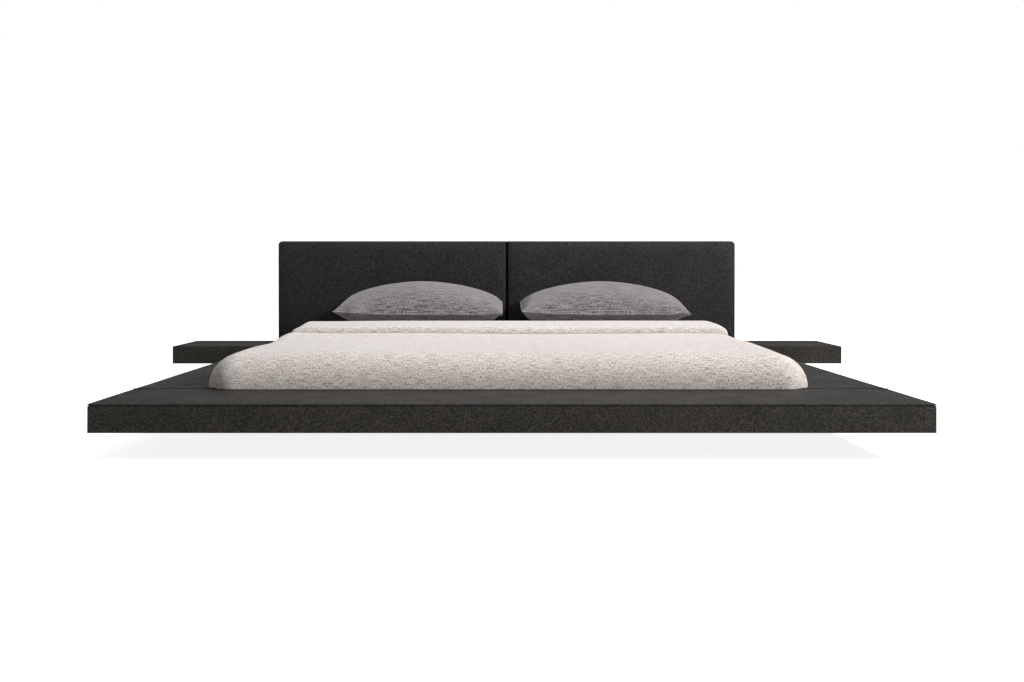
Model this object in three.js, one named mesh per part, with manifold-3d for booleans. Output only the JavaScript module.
// A king-size platform bed. Low leather-wrapped ledges stand out round a sunken mattress, a two-panel
// padded headboard closes the head end, and a slim nightstand with one drawer floats beside each rear corner.
// Millimetres. X runs across the bed, Y from the foot face (0) to the head, Z up from the floor.

import * as THREE from "three";
import { mergeVertices } from "three/addons/utils/BufferGeometryUtils.js";
import Module from "manifold-3d";

const wasm = await Module();
wasm.setup();

// ---- Driving dimensions

const GAP = 0.3; // between pieces that touch
const SIDES = [
  ["left", -1],
  ["right", 1],
];

const MATTRESS = { width: 1930, length: 2030, height: 200, bottom: 62, edge: 35, corner: 70 };
const DECK = { width: 2540, top: 175, thick: 90, footDepth: 342, edge: 5, corner: 8, wall: 20, seat: 45 };
const HEADBOARD = { front: 2382, pad: 46, board: 25, top: 733, split: 9, corner: 22, edge: 9 };
const STAND = { width: 470, depth: 393, gap: 3, top: 16, side: 14, floor: 10, back: 12, edge: 3 };
const BEARER = { inner: 982.3, thick: 35, tip: 60, tipHeight: 8, footStart: 500, footEnd: 2250, heel: 20 };
const SLAT = { count: 11, width: 115, thick: 17.7, bottom: 44, corner: 4 };
const CLEAT = { leg: 40, rise: 39, sheet: 3, start: 345, end: 2385 };
const CROSS = { thick: 25, height: 40.4, slot: 20, positions: { foot: 500, middle: 1375 } };
const BEAM = { thick: 40, top: 43.7 };
const HEAD_RAIL = { front: 2390, bottom: 15 };
const ARM = { width: 50, plate: 6, web: 6, bottom: 20, gusset: 160 };
const DRAWER = { front: 18, reveal: 1.5, fingerGap: 25, depth: 340, floor: 99, height: 50, wall: 6, base: 5 };
const SLIDE = { room: 10, length: 300, height: 27, sheet: 1.2, axis: 124, start: 2083, ballPitch: 44, balls: 4 };
const DUVET = { shift: -8, halfWidth: 1028, front: 305, end: 1880, top: 292, corner: 110, edge: 98, drop: 117 };
const FOLD = { start: 1335, halfWidth: 1046, top: 323, corner: 110, edge: 98, drop: 130 };
const PILLOW = { depth: 490, rise: 152, sag: 86, waist: 0.03, y: 2132, z: 355, tilt: 0.03 };
const PILLOWS = { left: { x: -451, width: 866 }, right: { x: 501, width: 866 } };

const deckUnder = DECK.top - DECK.thick;
const halfDeck = DECK.width / 2;
const wellHalf = MATTRESS.width / 2 + 10;
const bearerOuter = BEARER.inner + BEARER.thick;
const mattressFront = DECK.footDepth + 1.5;
const mattressTop = MATTRESS.bottom + MATTRESS.height;
const boardFront = HEADBOARD.front + HEADBOARD.pad;
const bedLength = boardFront + HEADBOARD.board;
const standInner = halfDeck + STAND.gap;
const standOuter = standInner + STAND.width;
const standFront = bedLength - STAND.depth;
const standTopUnder = DECK.top - STAND.top;
const drawerBack = standFront + DRAWER.front;
const caseFront = drawerBack + DRAWER.reveal;
const bearerTop = deckUnder - GAP;

// ---- Materials, one maker per finish, so that each piece owns its material

const finishes = {
  leather: () => new THREE.MeshStandardMaterial({ color: 0x2b2a27, roughness: 0.5, metalness: 0 }),
  headboardLeather: () => new THREE.MeshStandardMaterial({ color: 0x26262a, roughness: 0.55, metalness: 0 }),
  wood: () => new THREE.MeshStandardMaterial({ color: 0xb48a5c, roughness: 0.65, metalness: 0 }),
  blackWood: () => new THREE.MeshStandardMaterial({ color: 0x1d1b1a, roughness: 0.6, metalness: 0 }),
  blackSteel: () => new THREE.MeshStandardMaterial({ color: 0x202022, roughness: 0.45, metalness: 0.6 }),
  zincSteel: () => new THREE.MeshStandardMaterial({ color: 0xb9bcc0, roughness: 0.35, metalness: 1 }),
  moulded: () => new THREE.MeshStandardMaterial({ color: 0x2e2e31, roughness: 0.7, metalness: 0 }),
  ticking: () => new THREE.MeshStandardMaterial({ color: 0xe9e6e0, roughness: 0.9, metalness: 0 }),
  duvetLinen: () => new THREE.MeshStandardMaterial({ color: 0xd6cfca, roughness: 0.9, metalness: 0 }),
  pillowLinen: () => new THREE.MeshStandardMaterial({ color: 0xa9a5a6, roughness: 0.9, metalness: 0 }),
};

// ---- Joining and cutting

function toSolid(shape) {
  if (shape instanceof wasm.Manifold) return shape;
  const bare = shape.clone();
  bare.deleteAttribute("normal");
  bare.deleteAttribute("uv");
  const merged = mergeVertices(bare, 1e-3);
  return new wasm.Manifold(
    new wasm.Mesh({
      numProp: 3,
      vertProperties: new Float32Array(merged.attributes.position.array),
      triVerts: new Uint32Array(merged.index.array),
    }),
  );
}

function toGeometry(solid) {
  const mesh = solid.getMesh();
  const indexed = new THREE.BufferGeometry()
    .setAttribute("position", new THREE.BufferAttribute(new Float32Array(mesh.vertProperties), 3))
    .setIndex(new THREE.BufferAttribute(new Uint32Array(mesh.triVerts), 1));
  const flat = indexed.toNonIndexed();
  flat.computeVertexNormals();
  return flat;
}

function cut(body, ...tools) {
  return tools.reduce((solid, tool) => solid.subtract(toSolid(tool)), toSolid(body));
}

function join(...bodies) {
  return bodies.map(toSolid).reduce((a, b) => a.add(b));
}

// ---- Shapes and extrusions

const ROUND = 0.5523; // the handle length that makes a cubic curve follow a quarter circle

// A closed outline through the points, with each corner rounded.
function outline(points, radius = 0) {
  const shape = new THREE.Shape();
  points.forEach(([x, y], i) => {
    const here = new THREE.Vector2(x, y);
    const before = new THREE.Vector2(...points.at(i - 1));
    const after = new THREE.Vector2(...points[(i + 1) % points.length]);
    const start = here.clone().add(before.sub(here).setLength(radius));
    const end = here.clone().add(after.sub(here).setLength(radius));
    if (i === 0) shape.moveTo(start.x, start.y);
    else shape.lineTo(start.x, start.y);
    if (radius === 0) return;
    const leave = start.clone().lerp(here, ROUND);
    const arrive = end.clone().lerp(here, ROUND);
    shape.bezierCurveTo(leave.x, leave.y, arrive.x, arrive.y, end.x, end.y);
  });
  shape.closePath();
  return shape;
}

function rectangle(x0, x1, y0, y1, radius = 0) {
  return outline([[x0, y0], [x1, y0], [x1, y1], [x0, y1]], radius);
}

// Extrudes an XY outline from z0 to z1. The edges round inwards, so the outline is the piece's full size.
// A drop makes the rounding taller than it is wide.
function extrudeUp(shape, z0, z1, { edge = 0, drop = edge, curveSegments = 3, bevelSegments = 2 } = {}) {
  const geometry = new THREE.ExtrudeGeometry(shape, {
    depth: z1 - z0 - 2 * drop,
    bevelEnabled: edge > 0,
    bevelThickness: drop,
    bevelSize: edge,
    bevelOffset: -edge,
    bevelSegments,
    curveSegments,
  });
  return geometry.translate(0, 0, z0 + drop);
}

// Extrudes a YZ outline from x0 to x1.
function extrudeAcross(shape, x0, x1, options) {
  const axes = new THREE.Matrix4().makeBasis(
    new THREE.Vector3(0, 1, 0),
    new THREE.Vector3(0, 0, 1),
    new THREE.Vector3(1, 0, 0),
  );
  return extrudeUp(shape, Math.min(x0, x1), Math.max(x0, x1), options).applyMatrix4(axes);
}

// Extrudes an XZ outline from y0 to y1.
function extrudeAlong(shape, y0, y1, options) {
  const axes = new THREE.Matrix4().makeBasis(
    new THREE.Vector3(1, 0, 0),
    new THREE.Vector3(0, 0, 1),
    new THREE.Vector3(0, -1, 0),
  );
  return extrudeUp(shape, -y1, -y0, options).applyMatrix4(axes);
}

function block([x0, x1], [y0, y1], [z0, z1]) {
  return new THREE.BoxGeometry(Math.abs(x1 - x0), y1 - y0, z1 - z0).translate(
    (x0 + x1) / 2,
    (y0 + y1) / 2,
    (z0 + z1) / 2,
  );
}

// Splits a length into equal cells with a rib between each two.
function cells(from, to, count, rib) {
  const pitch = (to - from + rib) / count;
  return Array.from({ length: count }, (_, i) => [from + i * pitch, from + (i + 1) * pitch - rib]);
}

function piece(name, body, finish) {
  const geometry = body instanceof wasm.Manifold ? toGeometry(body) : body;
  const mesh = new THREE.Mesh(geometry, finishes[finish]());
  mesh.name = name;
  return mesh;
}

// ---- Ledges: ribbed boxes, open below, wrapped in leather

function footLedge() {
  const body = extrudeUp(
    rectangle(-halfDeck, halfDeck, 0, DECK.footDepth - GAP, DECK.corner),
    deckUnder,
    DECK.top,
    { edge: DECK.edge },
  );
  const ribThick = BEARER.thick;
  const bearerX = BEARER.inner + BEARER.thick / 2;
  const between = cells(-bearerX + ribThick / 2, bearerX - ribThick / 2, 6, ribThick);
  const ends = [-1, 1].map((side) => [
    side * (bearerX + ribThick / 2),
    side * (halfDeck - DECK.wall),
  ]);
  const pockets = [...between, ...ends].map((xs) =>
    block(xs, [DECK.wall, DECK.footDepth - DECK.wall], [deckUnder - 1, DECK.top - DECK.wall]),
  );
  return piece("foot_ledge", cut(body, ...pockets), "leather");
}

function sideLedge(name, side) {
  const ends = [DECK.footDepth, HEADBOARD.front - GAP];
  const body = extrudeUp(
    rectangle(side * wellHalf, side * halfDeck, ...ends, DECK.corner),
    deckUnder,
    DECK.top,
    { edge: DECK.edge },
  );
  const pockets = cells(ends[0] + DECK.wall, ends[1] - DECK.wall, 6, DECK.wall).map((ys) =>
    block(
      [side * (wellHalf + DECK.seat), side * (halfDeck - DECK.wall)],
      ys,
      [deckUnder - 1, DECK.top - DECK.wall],
    ),
  );
  return piece(`${name}_ledge`, cut(body, ...pockets), "leather");
}

// ---- Base: two bearers and a centre beam that stand on the floor, with boards across them

// The foot end tapers up to a thin tip under the foot ledge, so the base stays out of sight.
function bearer(name, side) {
  const shape = outline([
    [BEARER.tip, bearerTop],
    [BEARER.tip, bearerTop - BEARER.tipHeight],
    [BEARER.footStart, 0],
    [BEARER.footEnd, 0],
    [boardFront - GAP, BEARER.heel],
    [boardFront - GAP, bearerTop],
  ]);
  return piece(`${name}_bearer`, extrudeAcross(shape, side * BEARER.inner, side * bearerOuter), "blackWood");
}

function centreBeam() {
  const rise = DECK.footDepth - 4;
  const half = BEAM.thick / 2;
  const shape = outline([
    [BEARER.tip, bearerTop],
    [BEARER.tip, bearerTop - BEARER.tipHeight],
    [BEARER.footStart, 0],
    [BEARER.footEnd, 0],
    [HEAD_RAIL.front - GAP, BEARER.heel],
    [HEAD_RAIL.front - GAP, BEAM.top],
    [rise + 2, BEAM.top],
    [rise, bearerTop],
  ]);
  const slots = Object.values(CROSS.positions).map((y) =>
    block([-half - 1, half + 1], [y - GAP, y + CROSS.thick + GAP], [-1, CROSS.slot + GAP]),
  );
  return piece("centre_beam", cut(extrudeAcross(shape, -half, half), ...slots), "blackWood");
}

// A cross board is halved over the centre beam: each gives up half its height where they meet.
function crossBoard(name, y) {
  const end = BEARER.inner - GAP;
  const slotHalf = BEAM.thick / 2 + GAP;
  const shape = outline([
    [-end, 0],
    [end, 0],
    [end, CROSS.height],
    [slotHalf, CROSS.height],
    [slotHalf, CROSS.slot],
    [-slotHalf, CROSS.slot],
    [-slotHalf, CROSS.height],
    [-end, CROSS.height],
  ]);
  return piece(`${name}_cross_board`, extrudeAlong(shape, y, y + CROSS.thick), "blackWood");
}

function headRail() {
  const end = BEARER.inner - GAP;
  const shape = rectangle(HEAD_RAIL.front, boardFront - GAP, HEAD_RAIL.bottom, bearerTop, 2);
  return piece("head_rail", extrudeAcross(shape, -end, end), "blackWood");
}

// A steel angle along each bearer carries the slat ends.
function slatCleat(name, side) {
  const outer = BEARER.inner - GAP;
  const low = BEAM.top - CLEAT.sheet;
  const shape = outline(
    [
      [outer - CLEAT.leg, low],
      [outer, low],
      [outer, low + CLEAT.rise],
      [outer - CLEAT.sheet, low + CLEAT.rise],
      [outer - CLEAT.sheet, BEAM.top],
      [outer - CLEAT.leg, BEAM.top],
    ].map(([x, z]) => [side * x, z]),
    1,
  );
  return piece(`${name}_slat_cleat`, extrudeAlong(shape, CLEAT.start, CLEAT.end), "blackSteel");
}

function slats() {
  const pitch = MATTRESS.length / SLAT.count;
  const end = BEARER.inner - CLEAT.sheet - 2;
  return Array.from({ length: SLAT.count }, (_, i) => {
    const y = mattressFront + (i + 0.5) * pitch;
    const section = rectangle(
      y - SLAT.width / 2,
      y + SLAT.width / 2,
      SLAT.bottom,
      SLAT.bottom + SLAT.thick,
      SLAT.corner,
    );
    return piece(`slat_${String(i + 1).padStart(2, "0")}`, extrudeAcross(section, -end, end), "wood");
  });
}

// A cantilever arm: a plate under the load, a tab against the bearer and a gusset between them.
function arm(name, side, y, reach) {
  const inner = bearerOuter + GAP;
  const flat = [
    [inner, ARM.bottom],
    [inner, bearerTop],
    [reach, bearerTop],
    [reach, bearerTop - ARM.plate],
    [inner + ARM.plate, bearerTop - ARM.plate],
    [inner + ARM.plate, ARM.bottom],
  ];
  const gusset = [
    [inner + 1, ARM.bottom + 4],
    [inner + 1, bearerTop - 1],
    [inner + ARM.gusset, bearerTop - 1],
    [inner + ARM.gusset, bearerTop - ARM.plate - 2],
    [inner + ARM.plate + 4, ARM.bottom + 4],
  ];
  const mirrored = (points) => outline(points.map(([x, z]) => [side * x, z]), 0.8);
  return piece(
    name,
    join(
      extrudeAlong(mirrored(flat), y - ARM.width / 2, y + ARM.width / 2),
      extrudeAlong(mirrored(gusset), y - ARM.web / 2, y + ARM.web / 2),
    ),
    "blackSteel",
  );
}

// ---- Headboard: a padded panel on a backing board, twice, tied by steel plates behind

function headboardOutline(side, bottom, innerGap) {
  const inner = side * (innerGap / 2);
  const outer = side * halfDeck;
  const r = HEADBOARD.corner;
  const shape = new THREE.Shape();
  shape.moveTo(inner, bottom);
  shape.lineTo(outer, bottom);
  shape.lineTo(outer, HEADBOARD.top - r);
  shape.quadraticCurveTo(outer, HEADBOARD.top, outer - side * r, HEADBOARD.top);
  shape.lineTo(inner, HEADBOARD.top);
  shape.closePath();
  return shape;
}

function headboardPad(name, side) {
  const body = extrudeAlong(headboardOutline(side, deckUnder, HEADBOARD.split), HEADBOARD.front, boardFront - GAP, {
    edge: HEADBOARD.edge,
    curveSegments: 5,
    bevelSegments: 3,
  });
  return piece(`${name}_headboard_pad`, body, "headboardLeather");
}

const PLATE = { half: 110, height: 60, thick: 4, levels: { lower: 230, upper: 590 } };

// The two boards meet behind the split. Each stands on two legs that bolt to the bearer and to the head rail.
function headboardBoard(name, side) {
  const body = extrudeAlong(headboardOutline(side, deckUnder, GAP), boardFront, bedLength, { curveSegments: 5 });
  const legs = [
    [BEARER.inner - 80, bearerOuter],
    [GAP / 2, 130],
  ].map(([a, b]) =>
    extrudeAlong(
      rectangle(side * a, side * b, BEARER.heel, deckUnder + 10, 0),
      boardFront,
      bedLength,
    ),
  );
  const recesses = Object.values(PLATE.levels).map((z) =>
    block(
      [0, side * (PLATE.half + GAP)],
      [bedLength - PLATE.thick - GAP, bedLength + 1],
      [z - GAP, z + PLATE.height + GAP],
    ),
  );
  return piece(`${name}_headboard_board`, cut(join(body, ...legs), ...recesses), "blackWood");
}

function jointPlates() {
  return Object.entries(PLATE.levels).map(([level, z]) => {
    const plate = extrudeAlong(
      rectangle(-PLATE.half, PLATE.half, z, z + PLATE.height, 6),
      bedLength - PLATE.thick,
      bedLength,
    );
    const holes = [-90, -35, 35, 90].map((x) =>
      new THREE.CylinderGeometry(3.2, 3.2, 20, 12).translate(x, bedLength, z + PLATE.height / 2),
    );
    return piece(`${level}_joint_plate`, cut(plate, ...holes), "zincSteel");
  });
}

// ---- Nightstand: a shallow case with a mitred top and a drawer whose front is the whole face

function standCase(name, side) {
  const body = extrudeUp(
    rectangle(side * standInner, side * standOuter, caseFront, bedLength, STAND.edge),
    deckUnder,
    standTopUnder - GAP,
  );
  const inside = [side * (standInner + STAND.side), side * (standOuter - STAND.side)];
  const room = block(
    inside,
    [caseFront - 1, bedLength - STAND.back],
    [deckUnder + STAND.floor, standTopUnder + 1],
  );
  const fingerNotch = block(
    inside,
    [caseFront - 1, drawerBack + DRAWER.fingerGap],
    [deckUnder - 1, deckUnder + STAND.floor + 1],
  );
  return piece(`${name}_stand_case`, cut(body, room, fingerNotch), "leather");
}

// The top's front edge and the drawer front's top edge meet in a 45 degree mitre.
function standTop(name, side) {
  const tip = standFront + DRAWER.reveal + 1;
  const shape = outline([
    [tip, DECK.top],
    [tip + STAND.top, standTopUnder],
    [bedLength, standTopUnder],
    [bedLength, DECK.top],
  ], 0.8);
  return piece(
    `${name}_stand_top`,
    extrudeAcross(shape, side * standInner, side * standOuter),
    "leather",
  );
}

function drawerFront(name, side) {
  const shape = outline([
    [standFront, deckUnder],
    [standFront, DECK.top],
    [standFront + 1.8, DECK.top],
    [standFront + STAND.top + 1, standTopUnder],
    [drawerBack, standTopUnder - 1],
    [drawerBack, deckUnder + 6],
    [drawerBack - 6, deckUnder],
  ], 0.8);
  return piece(
    `${name}_drawer_front`,
    extrudeAcross(shape, side * standInner, side * standOuter),
    "leather",
  );
}

function drawerTray(name, side) {
  const inset = STAND.side + SLIDE.room;
  const xs = [side * (standInner + inset), side * (standOuter - inset)];
  const y0 = drawerBack + GAP;
  const y1 = y0 + DRAWER.depth;
  const wall = DRAWER.wall;
  const shell = extrudeUp(rectangle(...xs, y0, y1, 8), DRAWER.floor, DRAWER.floor + DRAWER.height);
  const hollow = extrudeUp(
    rectangle(xs[0] + side * wall, xs[1] - side * wall, y0 + wall, y1 - wall, 14),
    DRAWER.floor + DRAWER.base,
    DRAWER.floor + DRAWER.height + 1,
  );
  return piece(`${name}_drawer_tray`, cut(shell, hollow), "moulded");
}

// ---- Ball-bearing slide: three nested channels. Sideways distances run from the case wall to the tray.

// A C-shaped channel whose flanges end in small lips that hold the balls in.
function channel(side, wallX, web, tip, half, lip) {
  const sheet = SLIDE.sheet;
  const inward = Math.sign(tip - web);
  const flangeEnd = tip - inward * sheet;
  const webInside = web + inward * sheet;
  const upper = [
    [web, half],
    [tip, half],
    [tip, half - lip],
    [flangeEnd, half - lip],
    [flangeEnd, half - sheet],
    [webInside, half - sheet],
  ];
  const lower = upper.map(([u, z]) => [u, -z]).reverse();
  return outline(
    [...upper, ...lower].map(([u, z]) => [wallX + side * u, SLIDE.axis + z]),
    0.4,
  );
}

function screwHoles(x, start, length, count) {
  const step = (length - 60) / (count - 1);
  return Array.from({ length: count }, (_, i) =>
    new THREE.CylinderGeometry(2.2, 2.2, 8, 10)
      .rotateZ(Math.PI / 2)
      .translate(x, start + 30 + i * step, SLIDE.axis),
  );
}

function slideMembers(name, wallX, side) {
  const half = SLIDE.height / 2;
  const start = SLIDE.start;
  const end = start + SLIDE.length;
  const options = { curveSegments: 1 };
  const fixed = cut(
    extrudeAlong(channel(side, wallX, 0.3, 9, half, 2.4), start, end, options),
    ...screwHoles(wallX, start, SLIDE.length, 3),
  );
  const drawer = cut(
    extrudeAlong(channel(side, wallX, 9.7, 4.4, 4.9, 1.2), start, end, options),
    ...screwHoles(wallX + side * 9.7, start, SLIDE.length, 3),
  );
  const rail = extrudeAlong(channel(side, wallX, 1.9, 8.9, 9.1, 2), start + 4, end, options);
  const rows = [
    [10.35, 1.45],
    [6.85, 1.3],
  ];
  const balls = rows.flatMap(([z, radius]) =>
    [-1, 1].flatMap((up) =>
      Array.from({ length: SLIDE.balls }, (_, i) =>
        new THREE.SphereGeometry(radius, 6, 4).translate(
          wallX + side * 6,
          start + SLIDE.length / 2 + (i - (SLIDE.balls - 1) / 2) * SLIDE.ballPitch,
          SLIDE.axis + up * z,
        ),
      ),
    ),
  );
  return [
    piece(`${name}_slide_fixed`, fixed, "zincSteel"),
    piece(`${name}_slide_middle`, join(rail, ...balls), "zincSteel"),
    piece(`${name}_slide_drawer`, drawer, "zincSteel"),
  ];
}

function nightstand(name, side) {
  const stand = new THREE.Group();
  stand.add(
    standCase(name, side),
    standTop(name, side),
    drawerFront(name, side),
    drawerTray(name, side),
    ...slideMembers(`${name}_inboard`, side * (standInner + STAND.side), side),
    ...slideMembers(`${name}_outboard`, side * (standOuter - STAND.side), -side),
    arm(`${name}_stand_arm_front`, side, standFront + 112, standOuter - 90),
    arm(`${name}_stand_arm_back`, side, standFront + 300, standOuter - 90),
  );
  return stand;
}

// ---- Bedding

function mattress() {
  const half = MATTRESS.width / 2;
  const plan = rectangle(-half, half, mattressFront, mattressFront + MATTRESS.length, MATTRESS.corner);
  const body = extrudeUp(plan, MATTRESS.bottom, mattressTop, {
    edge: MATTRESS.edge,
    curveSegments: 6,
    bevelSegments: 4,
  });
  return piece("mattress", body, "ticking");
}

// A crowned sheet from the foot up to where it folds back, with the turned-down layer on top of it.
function duvet() {
  const crown = ({ halfWidth, top, corner, edge, drop }) =>
    extrudeUp(
      rectangle(DUVET.shift - halfWidth, DUVET.shift + halfWidth, DUVET.front, bedLength, corner),
      top - 2 * drop - 20,
      top,
      { edge, drop, curveSegments: 6, bevelSegments: 6 },
    );
  const below = block([-2000, 2000], [0, 3000], [-400, DECK.top + GAP]);
  const beyond = block([-2000, 2000], [DUVET.end, 3000], [-400, 600]);
  const ahead = block([-2000, 2000], [-100, FOLD.start], [-400, 600]);
  const room = extrudeUp(
    rectangle(
      -MATTRESS.width / 2 - GAP,
      MATTRESS.width / 2 + GAP,
      mattressFront - GAP,
      3000,
      MATTRESS.corner,
    ),
    MATTRESS.bottom,
    mattressTop + GAP,
    { edge: MATTRESS.edge, curveSegments: 6, bevelSegments: 4 },
  );
  const layer = cut(crown(FOLD), ahead);
  return piece("duvet", cut(join(crown(DUVET), layer), below, beyond, room), "duvetLinen");
}

// A plump lens whose height falls to nothing at the sewn edge. Its shoulders are steep and its sides pull in
// between the corners.
function pillow(name, { x, width }) {
  const nx = 22;
  const ny = 14;
  const points = [];
  const grid = [0, 1].map(() => new Map());
  const key = (i, j) => i * (ny + 1) + j;
  const onEdge = (i, j) => i === 0 || j === 0 || i === nx || j === ny;
  const fullness = (t, shoulder) => Math.max(0, 1 - Math.abs(t) ** shoulder) ** 0.6;
  for (const layer of [0, 1]) {
    for (let i = 0; i <= nx; i++) {
      for (let j = 0; j <= ny; j++) {
        if (layer === 1 && onEdge(i, j)) {
          grid[1].set(key(i, j), grid[0].get(key(i, j)));
          continue;
        }
        const u = Math.sin((Math.PI / 2) * ((2 * i) / nx - 1));
        const v = Math.sin((Math.PI / 2) * ((2 * j) / ny - 1));
        const height = onEdge(i, j) ? 0 : fullness(u, 1.6) * fullness(v, 2.2);
        const px = (u * width * (1 - PILLOW.waist * (1 - v * v) * u * u)) / 2;
        const py = (v * PILLOW.depth * (1 - 2 * PILLOW.waist * (1 - u * u) * v * v)) / 2;
        grid[layer].set(key(i, j), points.length / 3);
        points.push(px, py, layer === 0 ? PILLOW.rise * height : -PILLOW.sag * height);
      }
    }
  }
  const index = [];
  for (const layer of [0, 1]) {
    for (let i = 0; i < nx; i++) {
      for (let j = 0; j < ny; j++) {
        const at = (a, b) => grid[layer].get(key(a, b));
        const quad = [at(i, j), at(i + 1, j), at(i + 1, j + 1), at(i, j + 1)];
        if (layer === 1) quad.reverse();
        index.push(quad[0], quad[1], quad[2], quad[0], quad[2], quad[3]);
      }
    }
  }
  const geometry = new THREE.BufferGeometry()
    .setAttribute("position", new THREE.Float32BufferAttribute(points, 3))
    .setIndex(index);
  geometry.computeVertexNormals();
  const mesh = piece(`${name}_pillow`, geometry, "pillowLinen");
  mesh.position.set(x, PILLOW.y, PILLOW.z);
  mesh.rotation.x = PILLOW.tilt;
  return mesh;
}

// ---- Assembly

const bed = new THREE.Group();
bed.add(footLedge(), centreBeam(), headRail(), ...slats(), ...jointPlates(), mattress(), duvet());
for (const [name, y] of Object.entries(CROSS.positions)) bed.add(crossBoard(name, y));
for (const [name, side] of SIDES) {
  bed.add(
    sideLedge(name, side),
    bearer(name, side),
    slatCleat(name, side),
    arm(`${name}_ledge_arm`, side, 1026, halfDeck - 40),
    headboardPad(name, side),
    headboardBoard(name, side),
    nightstand(name, side),
    pillow(name, PILLOWS[name]),
  );
}
bed.position.y = -bedLength / 2;

const platformBed = new THREE.Group();
platformBed.add(bed);

export default platformBed;
